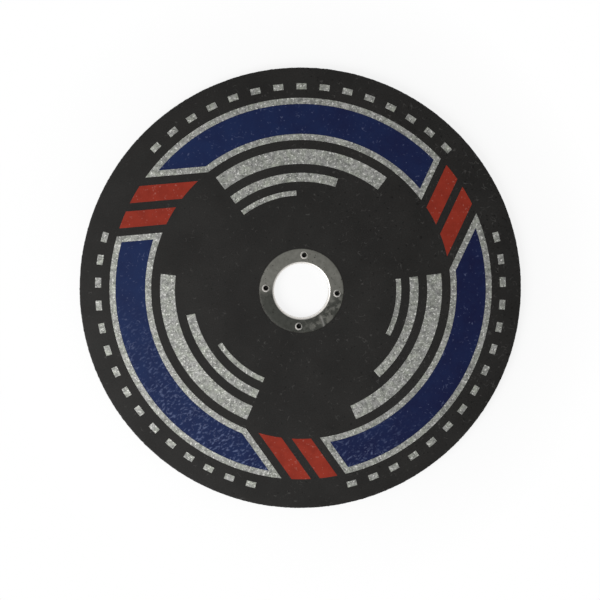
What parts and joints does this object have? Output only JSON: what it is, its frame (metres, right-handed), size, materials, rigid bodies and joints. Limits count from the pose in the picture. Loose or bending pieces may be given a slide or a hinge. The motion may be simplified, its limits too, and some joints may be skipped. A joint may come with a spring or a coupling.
{
  "type": "cut off wheel",
  "caption": "Thin flat abrasive cut-off wheel with a staked steel ring lining its bore, printed on one face, for cutting metal on an angle grinder.",
  "frame": {"origin": "centre of the bore in the plane of the back face, on which the wheel lies", "axes": "+Z along the bore, out of the printed front face; +Y to the top of the print, +X to its right"},
  "size_m": [0.18, 0.18, 0.0032],
  "materials": {
    "abrasive": "matt charcoal, resin bonded grain",
    "ring_steel": "dull drawn steel, lightly tarnished",
    "blue_ink": "dry navy ink",
    "red_ink": "dry brick red ink",
    "silver_ink": "metallic flake ink, finely crinkled"
  },
  "bodies": {
    "root": {"abrasive_disc": "abrasive", "steel_ring": "ring_steel", "blue_ink": "blue_ink", "red_ink": "red_ink", "silver_ink": "silver_ink"}
  },
  "joints": []
}
